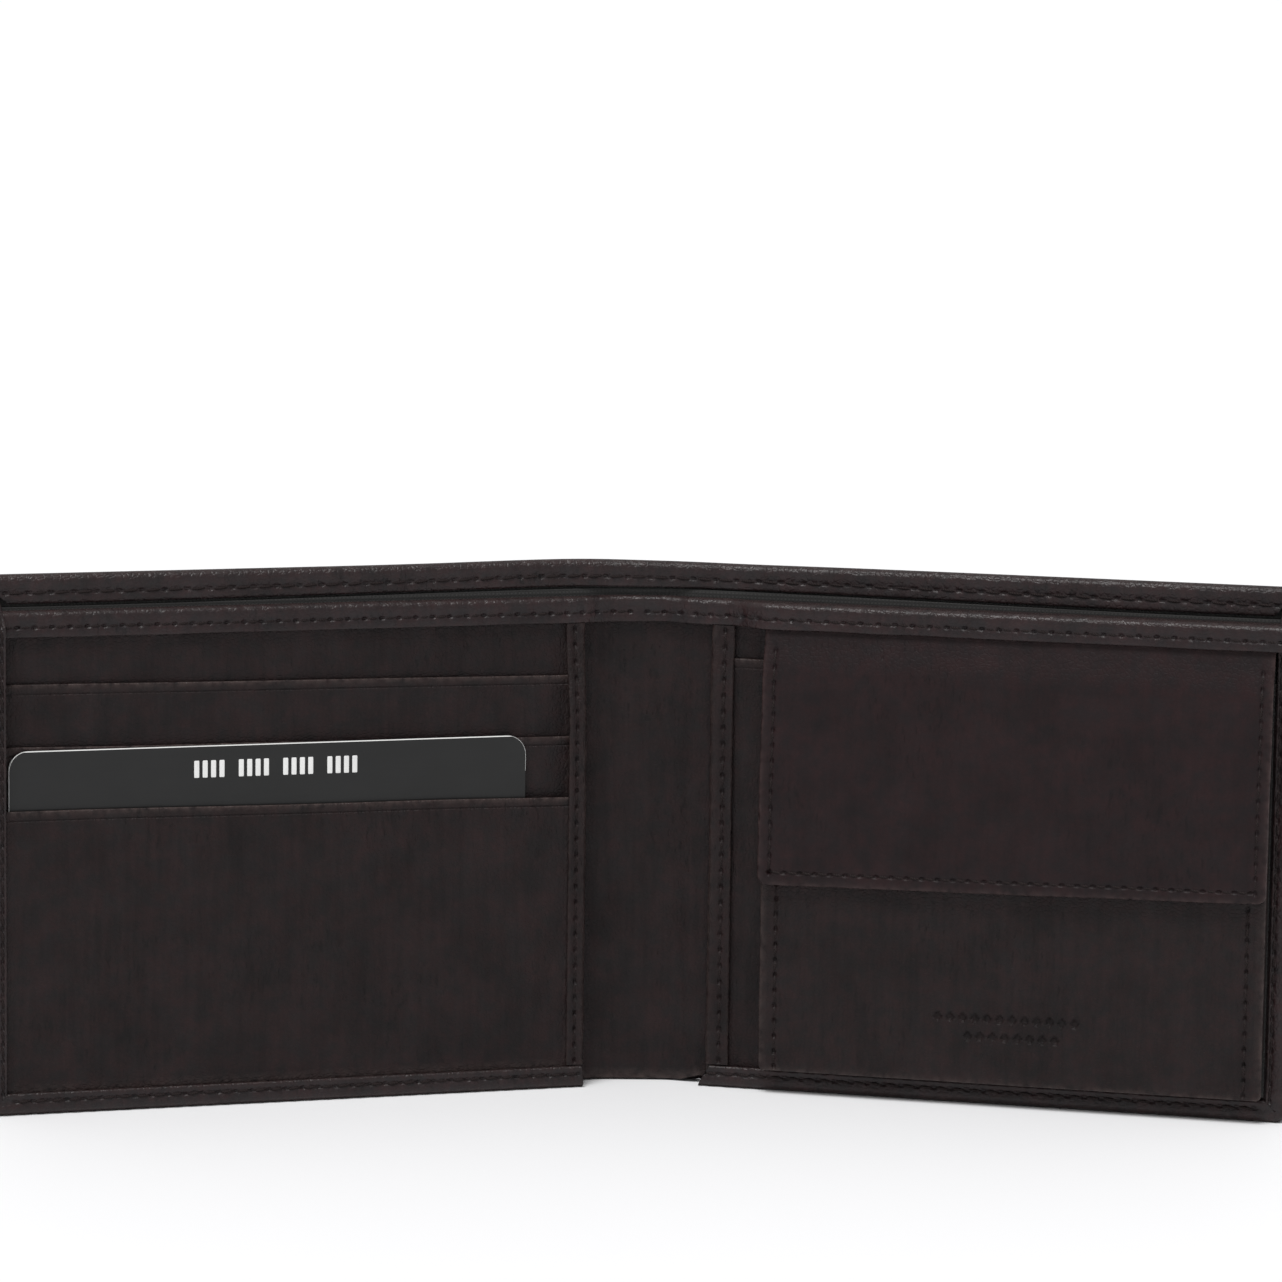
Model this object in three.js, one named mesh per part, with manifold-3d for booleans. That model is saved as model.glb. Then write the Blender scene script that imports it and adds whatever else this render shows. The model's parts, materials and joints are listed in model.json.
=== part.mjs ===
// A leather bifold wallet, standing half open on its bottom edge with its inside towards -Y.
// Millimetres, +Z up, origin at the middle of the base of the half-open wallet.
//
// The wallet is a spine and two wings. A wing is modelled flat: u runs from its fold to its outer
// edge, z is up, and depth is measured inwards from the outside of the cover. The left wing is
// the mirror image of that frame, and both wings then turn about their folds to the rest angle.
import * as THREE from "three";
import { mergeVertices } from "three/addons/utils/BufferGeometryUtils.js";
import Module from "manifold-3d";

const wasm = await Module();
wasm.setup();

// Whole wallet
const HEIGHT = 87;
const SPINE_WIDTH = 16.6; // from fold to fold
const WING_LENGTH = 101.5; // from fold to outer edge
const REST_ANGLE = THREE.MathUtils.degToRad(15); // how far each wing is folded forward
const FOLD_DEPTH = 1; // the folds turn about the inner face of the cover
const BACK_Y = 17.7; // the outside of the spine, half the half-open depth behind the origin

// Leather, fabric and the clearance between two layers that lie on each other
const COVER = 1;
const HEM = 0.8;
const GAP = 0.2;
const SIDE_GAP = 0.15;

// Depth at which each layer starts and ends
const NOTE_LINING = [1.2, 1.5];
const TOP_HEM = [1.7, 2.5];
const DIVIDER = [2.0, 2.3];
const INNER_WALL = [2.8, 3.2];
const SPINE_BAND = [3.4, 4.0];
const BACKING = [3.5, 4.0];
const BAND = [4.2, 5.0];
const POCKETS = [
  ["card_pocket_upper", 69, [4.2, 4.7]],
  ["card_pocket_middle", 59, [4.9, 5.4]],
  ["card_pocket_lower", 49, [6.56, 7.06]],
];
const CARD = [5.6, 6.36];
const LEFT_STRIP = [4.2, 7.1];
const SLIP_POCKET = [4.2, 4.8];
const RIGHT_STRIP = [5.0, 5.6];
const POUCH_BACK = [5.0, 5.3];
const GUSSET = [5.5, 7.3];
const POUCH_LINING = [7.5, 7.8];
const POUCH_FRONT = [8.0, 8.8];
const FLAP_LINING = [9.0, 9.3];
const FLAP = [9.5, 10.4];

// Heights
const TOP_HEM_HEIGHT = 4.3;
const SIDE_HEM_WIDTH = 3.5;
const BOTTOM_HEM_HEIGHT = 3.6;
const LINING_TOP = HEIGHT - COVER - SIDE_GAP;
const DIVIDER_TOP = 82.3;
const BAND_TOP = 81.4;
const BAND_BOTTOM = 77.1;
const BAND_FOLD = 0.4; // how thick the top band is where it turns over the inner wall
const WALL_TOP = BAND_TOP - BAND_FOLD - GAP;
const PANEL_BASE = COVER + GAP;
const PANEL_TOP = BAND_BOTTOM - GAP;
const STRIP_BASE = BOTTOM_HEM_HEIGHT + GAP;
const SLIP_POCKET_TOP = 71.7;
const POCKET_DEPTH = 46;
const SPINE_BASE = 0.3; // the spine's inner layers stop this far above the cover's lower edge
const SPINE_INSET = 0.6; // and this far from the folds

// Where the inner layers of a wing start, clear of the spine's layers when the wallet is shut
const LINING_START = 1.8;
const LAYER_START = 2.4;
const BAND_START = 3.3;
const LAYER_END = WING_LENGTH - COVER - GAP;
const LEFT_STRIP_END = 4.7;
const RIGHT_PANEL_START = 4.8;
const RIGHT_STRIP_END = 8.8;

// A standard card, pushed down into the lowest pocket
const CARD_WIDTH = 85.6;
const CARD_HEIGHT = 53.98;
const CARD_CORNER = 3.18;
const CARD_START = 11.8;
const CARD_BASE = 5;

// Coin pouch and its flap
const POUCH_START = 14.5;
const POUCH_END = 97.6;
const POUCH_BASE = 4.0;
const POUCH_TOP = 68;
const POUCH_BACK_TOP = 75.5;
const GUSSET_REACH = 6.5;
const GUSSET_THICKNESS = 0.35;
const FLAP_START = 14.2;
const FLAP_END = 97.8;
const FLAP_BASE = 36;
const FLAP_TOP = 75.8;
const FLAP_CORNER = 1.5;
const FLAP_ROOT_TOP = 76.8;
const FLAP_ROOT_BASE = 71.5;

// Press stud, hidden under the flap
const SNAP_U = 56;
const SNAP_Z = 42;
const SNAP_SIDES = 32;

const material = (color, roughness, metalness = 0) =>
  new THREE.MeshStandardMaterial({ color, roughness, metalness });
const COVER_LEATHER = material(0x38322f, 0.5);
const INNER_LEATHER = material(0x2e2928, 0.5);
const FLAP_LEATHER = material(0x322b2a, 0.48);
const LINING = material(0x4a4542, 0.85);
const CARD_PLASTIC = material(0x3c3c3d, 0.4);
const STEEL = material(0x8a8a88, 0.35, 1);

// Booleans

function toSolid(geometry) {
  const plain = geometry.clone();
  plain.deleteAttribute("normal");
  plain.deleteAttribute("uv");
  const merged = mergeVertices(plain, 1e-4);
  return new wasm.Manifold(
    new wasm.Mesh({
      numProp: 3,
      vertProperties: merged.attributes.position.array,
      triVerts: new Uint32Array(merged.index.array),
    }),
  );
}

function toGeometry(solid) {
  const { vertProperties, triVerts } = solid.getMesh();
  const geometry = new THREE.BufferGeometry();
  geometry.setAttribute("position", new THREE.BufferAttribute(vertProperties, 3));
  geometry.setIndex(new THREE.BufferAttribute(triVerts, 1));
  geometry.computeVertexNormals();
  return geometry;
}

const join = (...pieces) => toGeometry(pieces.map(toSolid).reduce((a, b) => a.add(b)));
const cut = (piece, tool) => toGeometry(toSolid(piece).subtract(toSolid(tool)));
const clip = (piece, outline) => toGeometry(toSolid(piece).intersect(toSolid(outline)));

// Shapes

// A rectangle whose two outer corners, at its largest u, may be round.
function panel(u0, u1, z0, z1, lowerRadius = 0, upperRadius = lowerRadius) {
  const shape = new THREE.Shape();
  shape.moveTo(u0, z0);
  shape.lineTo(u1 - lowerRadius, z0);
  if (lowerRadius) shape.absarc(u1 - lowerRadius, z0 + lowerRadius, lowerRadius, -Math.PI / 2, 0);
  shape.lineTo(u1, z1 - upperRadius);
  if (upperRadius) shape.absarc(u1 - upperRadius, z1 - upperRadius, upperRadius, 0, Math.PI / 2);
  shape.lineTo(u0, z1);
  return shape;
}

// A rectangle with all four corners round, or only the lower two.
function roundedPanel(u0, u1, z0, z1, radius, upperRadius = radius) {
  const quarter = Math.PI / 2;
  const shape = new THREE.Shape();
  shape.absarc(u1 - radius, z0 + radius, radius, -quarter, 0);
  if (upperRadius) {
    shape.absarc(u1 - upperRadius, z1 - upperRadius, upperRadius, 0, quarter);
    shape.absarc(u0 + upperRadius, z1 - upperRadius, upperRadius, quarter, 2 * quarter);
  } else {
    shape.lineTo(u1, z1);
    shape.lineTo(u0, z1);
  }
  shape.absarc(u0 + radius, z0 + radius, radius, 2 * quarter, 3 * quarter);
  return shape;
}

// An outline in u and z, given thickness from one depth to another: depth runs towards -Y.
function layer(outline, [from, to]) {
  const settings = { depth: to - from, bevelEnabled: false, curveSegments: 6 };
  const geometry = new THREE.ExtrudeGeometry(outline, settings);
  geometry.rotateX(Math.PI / 2);
  geometry.translate(0, FOLD_DEPTH - from, 0);
  return geometry;
}

const sheet = (u0, u1, z0, z1, depths) => layer(panel(u0, u1, z0, z1), depths);

// A solid of revolution about the press stud's axis, from points of radius and depth.
function turned(profile) {
  const points = profile.map(([radius, depth]) => new THREE.Vector2(radius, depth));
  const geometry = new THREE.LatheGeometry(points, SNAP_SIDES);
  geometry.rotateX(Math.PI);
  geometry.translate(SNAP_U, FOLD_DEPTH, SNAP_Z);
  return geometry;
}

const disc = (radius, [from, to]) =>
  turned([
    [0, from],
    [radius, from],
    [radius, to],
    [0, to],
  ]);

function mesh(name, geometry, look) {
  const piece = new THREE.Mesh(geometry, look);
  piece.name = name;
  return piece;
}

// Pieces that both wings have

// The cover: one skin, turned over at the top, outer and bottom edges round the wing's layers.
function wingCover(hemDepth) {
  const hem = [hemDepth - HEM, hemDepth];
  const whole = join(
    sheet(SIDE_GAP, WING_LENGTH, 0, HEIGHT, [0, COVER]),
    sheet(BAND_START, WING_LENGTH, HEIGHT - COVER, HEIGHT, [0, TOP_HEM[1]]),
    sheet(BAND_START, WING_LENGTH, HEIGHT - TOP_HEM_HEIGHT, HEIGHT, TOP_HEM),
    sheet(WING_LENGTH - COVER, WING_LENGTH, 0, BAND_TOP, [0, hemDepth]),
    sheet(WING_LENGTH - SIDE_HEM_WIDTH, WING_LENGTH, 0, BAND_TOP, hem),
    sheet(LAYER_START, WING_LENGTH, 0, COVER, [0, hemDepth]),
    sheet(LAYER_START, WING_LENGTH, 0, BOTTOM_HEM_HEIGHT, hem),
  );
  return clip(whole, layer(panel(0, WING_LENGTH, 0, HEIGHT, 2, 2.5), [-1, hemDepth + 1]));
}

// The banknote compartment: its lining, the sheet that divides it and the wall in front of it.
function noteCompartment(side) {
  return [
    mesh(side + "_note_lining", sheet(LINING_START, LAYER_END, PANEL_BASE, LINING_TOP, NOTE_LINING), LINING),
    mesh(side + "_note_divider", sheet(BAND_START, LAYER_END, PANEL_BASE, DIVIDER_TOP, DIVIDER), LINING),
    mesh(side + "_inner_wall", sheet(BAND_START, LAYER_END, PANEL_BASE, WALL_TOP, INNER_WALL), INNER_LEATHER),
  ];
}

// A band folded over the top of the inner wall.
function topBand(u0, u1, [from, to]) {
  return join(
    sheet(u0, u1, BAND_BOTTOM, BAND_TOP, [from, to]),
    sheet(u0, u1, BAND_TOP - BAND_FOLD, BAND_TOP, [INNER_WALL[0], to]),
  );
}

// Spine

function spine() {
  const half = SPINE_WIDTH / 2;
  const edge = half - SIDE_GAP;
  const inner = half - SPINE_INSET;
  const cover = join(
    sheet(-edge, edge, 0, HEIGHT, [0, COVER]),
    sheet(-edge, edge, HEIGHT - COVER, HEIGHT, [0, TOP_HEM[1]]),
    sheet(-edge, edge, HEIGHT - TOP_HEM_HEIGHT, HEIGHT, TOP_HEM),
  );
  return [
    mesh("spine_cover", cover, COVER_LEATHER),
    mesh("spine_note_lining", sheet(-inner, inner, SPINE_BASE, LINING_TOP, NOTE_LINING), LINING),
    mesh("spine_note_divider", sheet(-inner, inner, SPINE_BASE, DIVIDER_TOP, DIVIDER), LINING),
    mesh("spine_inner_wall", sheet(-inner, inner, SPINE_BASE, WALL_TOP, INNER_WALL), INNER_LEATHER),
    mesh("spine_top_band", topBand(-inner, inner, SPINE_BAND), INNER_LEATHER),
  ];
}

// Left wing: card pockets

function leftBacking() {
  const tongueStart = BAND_START + 1.1;
  return join(
    sheet(LAYER_START, LAYER_END, PANEL_BASE, PANEL_TOP, BACKING),
    sheet(tongueStart, LAYER_END, PANEL_BASE, WALL_TOP, BACKING),
  );
}

function cardPocket([name, top, depths]) {
  const base = Math.max(PANEL_BASE, top - POCKET_DEPTH);
  return mesh(name, sheet(LEFT_STRIP_END + GAP, LAYER_END, base, top, depths), INNER_LEATHER);
}

function leftWing() {
  const strip = sheet(LAYER_START, LEFT_STRIP_END, STRIP_BASE, PANEL_TOP, LEFT_STRIP);
  const cardEnd = CARD_START + CARD_WIDTH;
  const cardTop = CARD_BASE + CARD_HEIGHT;
  const card = layer(roundedPanel(CARD_START, cardEnd, CARD_BASE, cardTop, CARD_CORNER), CARD);
  return [
    mesh("left_cover", wingCover(8.1), COVER_LEATHER),
    ...noteCompartment("left"),
    mesh("left_top_band", topBand(BAND_START, LAYER_END, BAND), INNER_LEATHER),
    mesh("left_backing", leftBacking(), INNER_LEATHER),
    ...POCKETS.map(cardPocket),
    mesh("left_edge_strip", strip, INNER_LEATHER),
    mesh("card", card, CARD_PLASTIC),
  ];
}

// Right wing: slip pocket and coin pouch

// A folded strip between the pouch's back and front, V-shaped with its point inside the pouch.
// Its section is drawn across (0 at the pouch's edge) and in depth.
function gussetSection() {
  const [near, far] = GUSSET;
  const middle = (near + far) / 2;
  const section = new THREE.Shape();
  section.moveTo(0, near);
  section.lineTo(GUSSET_REACH, middle);
  section.lineTo(0, far);
  section.lineTo(0, far - GUSSET_THICKNESS);
  section.lineTo(GUSSET_REACH - 2.5, middle);
  section.lineTo(0, near + GUSSET_THICKNESS);
  return section;
}

// Runs the section along an edge of the pouch: across is the direction of its point, and the
// run goes square to that and to the depth.
function gusset(across, length, x, z) {
  const inwards = new THREE.Vector3(0, -1, 0);
  const along = new THREE.Vector3().crossVectors(across, inwards);
  const geometry = new THREE.ExtrudeGeometry(gussetSection(), { depth: length, bevelEnabled: false });
  geometry.applyMatrix4(new THREE.Matrix4().makeBasis(across, inwards, along));
  geometry.translate(x, FOLD_DEPTH, z);
  return geometry;
}

function gussets() {
  const base = POUCH_BASE + GUSSET_REACH + 1;
  const height = POUCH_TOP - base;
  const width = POUCH_END - POUCH_START - 1;
  const inner = gusset(new THREE.Vector3(1, 0, 0), height, POUCH_START, POUCH_TOP);
  const outer = gusset(new THREE.Vector3(-1, 0, 0), height, POUCH_END, base);
  const bottom = gusset(new THREE.Vector3(0, 0, 1), width, POUCH_START + 0.5, POUCH_BASE + 0.4);
  return [
    mesh("pouch_gusset_inner", inner, INNER_LEATHER),
    mesh("pouch_gusset_outer", outer, INNER_LEATHER),
    mesh("pouch_gusset_bottom", bottom, INNER_LEATHER),
  ];
}

// The strip under the top band that the flap hangs from: a leg on the pouch's back and a shelf
// that reaches out over the pouch's mouth.
function flapRoot() {
  const shelf = [5.5, 8.9];
  const leg = [5.5, 6.1];
  return join(
    sheet(POUCH_START, POUCH_END, FLAP_ROOT_TOP - HEM, FLAP_ROOT_TOP, shelf),
    sheet(POUCH_START, POUCH_END, FLAP_ROOT_BASE, FLAP_ROOT_TOP, leg),
  );
}

function coinPouch() {
  const postHole = disc(1.8, [POUCH_LINING[0] - 1, POUCH_FRONT[1] + 1]);
  const front = roundedPanel(POUCH_START, POUCH_END, POUCH_BASE, POUCH_TOP, 1, 0);
  const lining = sheet(POUCH_START + 0.4, POUCH_END - 0.4, POUCH_BASE + 0.4, POUCH_TOP - 0.5, POUCH_LINING);
  const stud = turned([
    [0, 6.8],
    [4.5, 6.8],
    [4.5, 7.3],
    [1.4, 7.3],
    [1.4, 8.9],
    [2.0, 8.9],
    [2.0, 9.3],
    [0, 9.3],
  ]);
  return [
    mesh("pouch_back", sheet(POUCH_START, POUCH_END, POUCH_BASE, POUCH_BACK_TOP, POUCH_BACK), LINING),
    ...gussets(),
    mesh("pouch_front_lining", cut(lining, postHole), LINING),
    mesh("pouch_front", cut(layer(front, POUCH_FRONT), postHole), INNER_LEATHER),
    mesh("snap_stud", stud, STEEL),
    mesh("flap_root", flapRoot(), FLAP_LEATHER),
  ];
}

function coinFlap() {
  const outline = roundedPanel(FLAP_START, FLAP_END, FLAP_BASE, FLAP_TOP, FLAP_CORNER, 0);
  const recess = disc(5.6, [FLAP[0] - 1, FLAP[0] + 0.45]);
  const lining = sheet(FLAP_START + 1.8, FLAP_END - 1.8, FLAP_BASE + 2, FLAP_TOP - 0.8, FLAP_LINING);
  const socket = turned([
    [2.4, 8.95],
    [4.6, 8.95],
    [4.6, 9.3],
    [2.4, 9.3],
    [2.4, 8.95],
  ]);
  return [
    mesh("flap", cut(layer(outline, FLAP), recess), FLAP_LEATHER),
    mesh("flap_lining", cut(lining, disc(5, [FLAP_LINING[0] - 1, FLAP_LINING[1] + 1])), LINING),
    mesh("snap_socket", socket, STEEL),
    mesh("snap_cap", disc(5.2, [FLAP[0], FLAP[0] + 0.4]), STEEL),
  ];
}

function rightWing() {
  const strip = sheet(RIGHT_PANEL_START, RIGHT_STRIP_END, STRIP_BASE, PANEL_TOP, RIGHT_STRIP);
  const slip = sheet(RIGHT_PANEL_START, LAYER_END, PANEL_BASE, SLIP_POCKET_TOP, SLIP_POCKET);
  const backing = sheet(RIGHT_PANEL_START, LAYER_END, PANEL_BASE, WALL_TOP, BACKING);
  return [
    mesh("right_cover", wingCover(6.0), COVER_LEATHER),
    ...noteCompartment("right"),
    mesh("right_top_band", topBand(BAND_START, LAYER_END, BAND), INNER_LEATHER),
    mesh("right_backing", backing, INNER_LEATHER),
    mesh("slip_pocket", slip, INNER_LEATHER),
    mesh("right_edge_strip", strip, INNER_LEATHER),
    ...coinPouch(),
    ...coinFlap(),
  ];
}

// Assembly

function placeWing(pieces, side) {
  const wing = new THREE.Group();
  wing.add(...pieces);
  wing.scale.x = side;
  wing.rotation.z = -side * REST_ANGLE;
  wing.position.set((side * SPINE_WIDTH) / 2, BACK_Y - FOLD_DEPTH, 0);
  return wing;
}

const spineGroup = new THREE.Group();
spineGroup.add(...spine());
spineGroup.position.y = BACK_Y - FOLD_DEPTH;

const wallet = new THREE.Group();
wallet.add(spineGroup, placeWing(leftWing(), -1), placeWing(rightWing(), 1));

export default wallet;
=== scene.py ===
"""A dark brown leather bifold wallet, standing half open: card pockets on the left wing, a coin
pouch with a flap on the right wing, and a banknote compartment along the back.

Every layer is drawn flat, in millimetres, and then bent into place. In a wing's flat frame u runs
outwards from the fold (negative on the spine), w is the depth inwards from the outside of the
cover, and z is up. The left wing is the mirror image of the right one.
"""
import json
import math

import bmesh
import bpy
import numpy as np
from mathutils import Matrix, Vector


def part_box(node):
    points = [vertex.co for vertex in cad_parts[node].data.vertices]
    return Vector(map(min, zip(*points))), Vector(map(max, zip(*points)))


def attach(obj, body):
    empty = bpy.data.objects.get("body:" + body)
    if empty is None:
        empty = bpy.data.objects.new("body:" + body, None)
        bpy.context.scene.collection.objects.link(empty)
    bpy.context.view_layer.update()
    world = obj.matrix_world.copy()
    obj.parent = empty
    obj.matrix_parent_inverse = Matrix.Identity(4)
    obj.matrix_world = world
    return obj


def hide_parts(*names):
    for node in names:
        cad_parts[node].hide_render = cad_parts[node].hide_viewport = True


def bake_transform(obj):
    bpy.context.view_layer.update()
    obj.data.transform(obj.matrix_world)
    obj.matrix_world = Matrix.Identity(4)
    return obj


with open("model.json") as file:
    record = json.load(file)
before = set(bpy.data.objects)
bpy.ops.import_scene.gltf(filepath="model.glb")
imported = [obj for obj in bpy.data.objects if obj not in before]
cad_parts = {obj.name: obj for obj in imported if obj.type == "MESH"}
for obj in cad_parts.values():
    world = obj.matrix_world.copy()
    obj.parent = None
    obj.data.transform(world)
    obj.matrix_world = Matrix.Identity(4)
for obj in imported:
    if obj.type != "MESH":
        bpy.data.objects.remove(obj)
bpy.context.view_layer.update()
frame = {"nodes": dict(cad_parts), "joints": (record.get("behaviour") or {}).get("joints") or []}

# The frame, read in millimetres

MM = 0.001
LEFT, RIGHT = -1, 1
WORD = {LEFT: "left", RIGHT: "right"}
JOINTS = {joint["name"]: joint for joint in frame["joints"]}
HALF_SPINE = JOINTS["right_fold"]["pos_m"][0] / MM
FOLD_Y = JOINTS["right_fold"]["pos_m"][1] / MM
HINGE_AXIS = JOINTS["flap_hinge"]["axis"]
REST = math.atan2(abs(HINGE_AXIS[1]), abs(HINGE_AXIS[0]))  # how far each wing is folded forward
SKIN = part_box("spine_cover")[1].y / MM - FOLD_Y  # the cover's thickness: folds are at its inner face


def flat_box(node):
    """A CAD node's (u0, u1, w0, w1, z0, z1) in its wing's flat frame."""
    co = np.array([v.co for v in frame["nodes"][node].data.vertices]) / MM
    side = 1 if co[:, 0].mean() > 0 else -1
    across, inwards = side * co[:, 0] - HALF_SPINE, FOLD_Y - co[:, 1]
    u = math.cos(REST) * across + math.sin(REST) * inwards
    w = SKIN - math.sin(REST) * across + math.cos(REST) * inwards
    return [float(x) for x in (u.min(), u.max(), w.min(), w.max(), co[:, 2].min(), co[:, 2].max())]


def spine_depth(node):
    """How far a CAD node of the spine reaches in from the outside of the cover."""
    return SKIN + FOLD_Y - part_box(node)[0].y / MM


_, LENGTH, _, _, _, HEIGHT = flat_box("left_cover")

# Bending: the fold is spread over BEND millimetres each side of its axis

BEND = 7.0


def smooth(t):
    t = np.clip(t, 0, 1)
    return t * t * (3 - 2 * t)


def ramp(x, start, end):
    """From 0 at start to 1 at end, smoothly."""
    return smooth((np.asarray(x, float) - start) / (end - start))


def bell(x, width):
    """One at 0, falling away smoothly over about a width on both sides."""
    return np.exp(-((x / width) ** 2))


def bend_table():
    """The line of the folds' depth, from a little past the middle of the spine to the bend's end."""
    u = np.linspace(-HALF_SPINE - BEND, BEND, 1200)
    turn = REST * ramp(u, -BEND, BEND)
    step = np.diff(u)
    out = np.concatenate([[-BEND], -BEND + np.cumsum(step * np.cos((turn[1:] + turn[:-1]) / 2))])
    deep = np.concatenate([[0], np.cumsum(step * np.sin((turn[1:] + turn[:-1]) / 2))])
    share = ramp(u, -BEND, BEND)
    out += (HALF_SPINE + BEND * math.cos(REST) - out[-1]) * share
    deep += (BEND * math.sin(REST) - deep[-1]) * share
    return u, out, deep


BEND_U, BEND_OUT, BEND_DEEP = bend_table()


def bent(side, flat):
    """Flat points (u, w, z) in millimetres, in place in the row frame in metres."""
    u, w, z = flat[:, 0], flat[:, 1], flat[:, 2]
    turn = REST * ramp(u, -BEND, BEND)
    straight = u > BEND
    out = np.where(straight, HALF_SPINE + u * math.cos(REST), np.interp(u, BEND_U, BEND_OUT))
    deep = np.where(straight, u * math.sin(REST), np.interp(u, BEND_U, BEND_DEEP))
    out = out - np.sin(turn) * (w - SKIN)
    deep = deep + np.cos(turn) * (w - SKIN)
    return np.stack([side * out, FOLD_Y - deep, z], axis=1) * MM


def ripple(x, z, seed, length):
    """A smooth, repeatable unevenness from -1 to 1, with waves about length millimetres long."""
    rng = np.random.default_rng(seed)
    total = 0.0
    for _ in range(6):
        angle, stretch, phase = rng.uniform(0, math.pi), rng.uniform(0.7, 1.6), rng.uniform(0, 6.28)
        k = 2 * math.pi / (length * stretch)
        total = total + np.sin(k * (np.cos(angle) * x + np.sin(angle) * z) + phase)
    return total / 6


# Meshes

ROUND = np.array([0, 0.04, 0.15, 0.35, 0.65, 1.0])  # samples over a rounded edge, as a share of it


def build(name, side, flat, faces, look, seed, wear_and_highlight, warp=None, face_looks=None):
    """Makes a piece from flat points and faces. The flat place of each point stays on it for its
    material, so grain and colour don't slide when the leather bends."""
    placed = warp(flat) if warp else flat
    if side < 0:
        faces = [face[::-1] for face in faces]
    mesh = bpy.data.meshes.new(name)
    mesh.from_pydata(bent(side, placed), [], faces)
    kept = flat.copy()
    kept[:, 0] = side * (flat[:, 0] + HALF_SPINE)
    kept[:, 1] += 37.0 * seed
    # The edge share stored here paints edges paler: partly wear, partly a painted highlight.
    worn_and_highlit = np.zeros(len(flat)) if wear_and_highlight is None else wear_and_highlight
    stored = (("flat", "FLOAT_VECTOR", "vector", kept), ("wear_and_highlight", "FLOAT", "value", worn_and_highlit))
    for key, kind, field, values in stored:
        mesh.attributes.new(key, kind, "POINT").data.foreach_set(field, values.astype(np.float32).ravel())
    for material in look if isinstance(look, list) else [look]:
        mesh.materials.append(material)
    if face_looks is not None:
        mesh.polygons.foreach_set("material_index", np.asarray(face_looks, np.int32))
    mesh.shade_smooth()
    piece = bpy.data.objects.new(name, mesh)
    bpy.context.scene.collection.objects.link(piece)
    return piece


def grid_faces(index):
    """Quads over a grid of vertex numbers, in order u then z."""
    a, b = index[:-1, :-1], index[:-1, 1:]
    c, d = index[1:, 1:], index[1:, :-1]
    return np.stack([a, b, c, d], axis=-1).reshape(-1, 4).tolist()


def tube_faces(rings, around, first=0):
    """A closed tube with both ends capped, its points numbered ring by ring from first."""
    index = first + np.arange(rings * around).reshape(rings, around)
    index = np.concatenate([index, index[:, :1]], axis=1)
    return grid_faces(index) + [index[0, :-1].tolist()[::-1], index[-1, :-1].tolist()]


def rounding(r, count=6):
    """Points (a, b) along a quarter of a circle, from (r, 0) to (0, r)."""
    return [(r * (1 - math.sin(t)), r * (1 - math.cos(t))) for t in np.linspace(0, math.pi / 2, count)]


def positions(low, high, step, rim, extra):
    """Sample positions from low to high: even steps, a fine rim at each end, and the extra ones."""
    found = [low + rim * ROUND, high - rim * ROUND, np.arange(low + 1.2 * rim, high - 1.2 * rim, step)]
    found.append([x for x in extra if low + rim < x < high - rim])
    found = np.sort(np.concatenate(found))
    keep = [found[0]]
    for x in found[1:]:
        if x - keep[-1] > 0.02:
            keep.append(x)
    keep[-1] = high
    return np.array(keep)


HOLE_LONG, HOLE_WIDE = 0.50, 0.28  # half extents of a needle hole, along and across its seam
SINK = 0.10  # how deep a seam draws the leather down


def pit(along, across):
    """The share of a needle hole's full depth, at a place seen from the hole's middle."""
    return np.exp(-(((along / HOLE_LONG) ** 2 + (across / HOLE_WIDE) ** 2) ** 2))


class Seam:
    """A straight row of stitches on a layer's face, along u or z, with its holes pitch apart."""

    def __init__(self, along, at, start, end, pitch, hole=0.42, pucker=0.05):
        self.along, self.at, self.pitch, self.hole, self.pucker = along, at, pitch, hole, pucker
        self.holes = start + pitch * np.arange(int((end - start) / pitch + 1e-6) + 1)

    def relief(self, u, z):
        t, p = (u, z - self.at) if self.along == "u" else (z, u - self.at)
        nearest = np.clip(np.round((t - self.holes[0]) / self.pitch), 0, len(self.holes) - 1)
        off = t - (self.holes[0] + nearest * self.pitch)
        first, last = self.holes[0], self.holes[-1]
        inside = ramp(t, first - 1, first) * (1 - ramp(t, last, last + 1))
        groove = SINK * bell(p, 0.55) * inside
        swell = self.pucker * np.sin(math.pi * off / self.pitch) ** 2 * bell(np.abs(p) - 0.75, 0.45)
        return swell * inside - groove - self.hole * pit(off, p)

    def across(self):
        return self.at + np.array([-1.25, -0.75, -0.45, -0.27, -0.1, 0.1, 0.27, 0.45, 0.75, 1.25])

    def runs(self):
        return (self.holes[:, None] + np.array([-0.62, -0.44, -0.22, 0, 0.22, 0.44, 0.62])).ravel()

    def samples(self, axis):
        return self.runs() if self.along == axis else self.across()

    def points(self):
        line = np.full(len(self.holes), self.at)
        return np.stack([self.holes, line] if self.along == "u" else [line, self.holes], axis=1)


EDGE_FALL = 8  # how far into a layer a change to its upper or lower edge is felt


def level(*place):
    return 0 * place[0]


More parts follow.
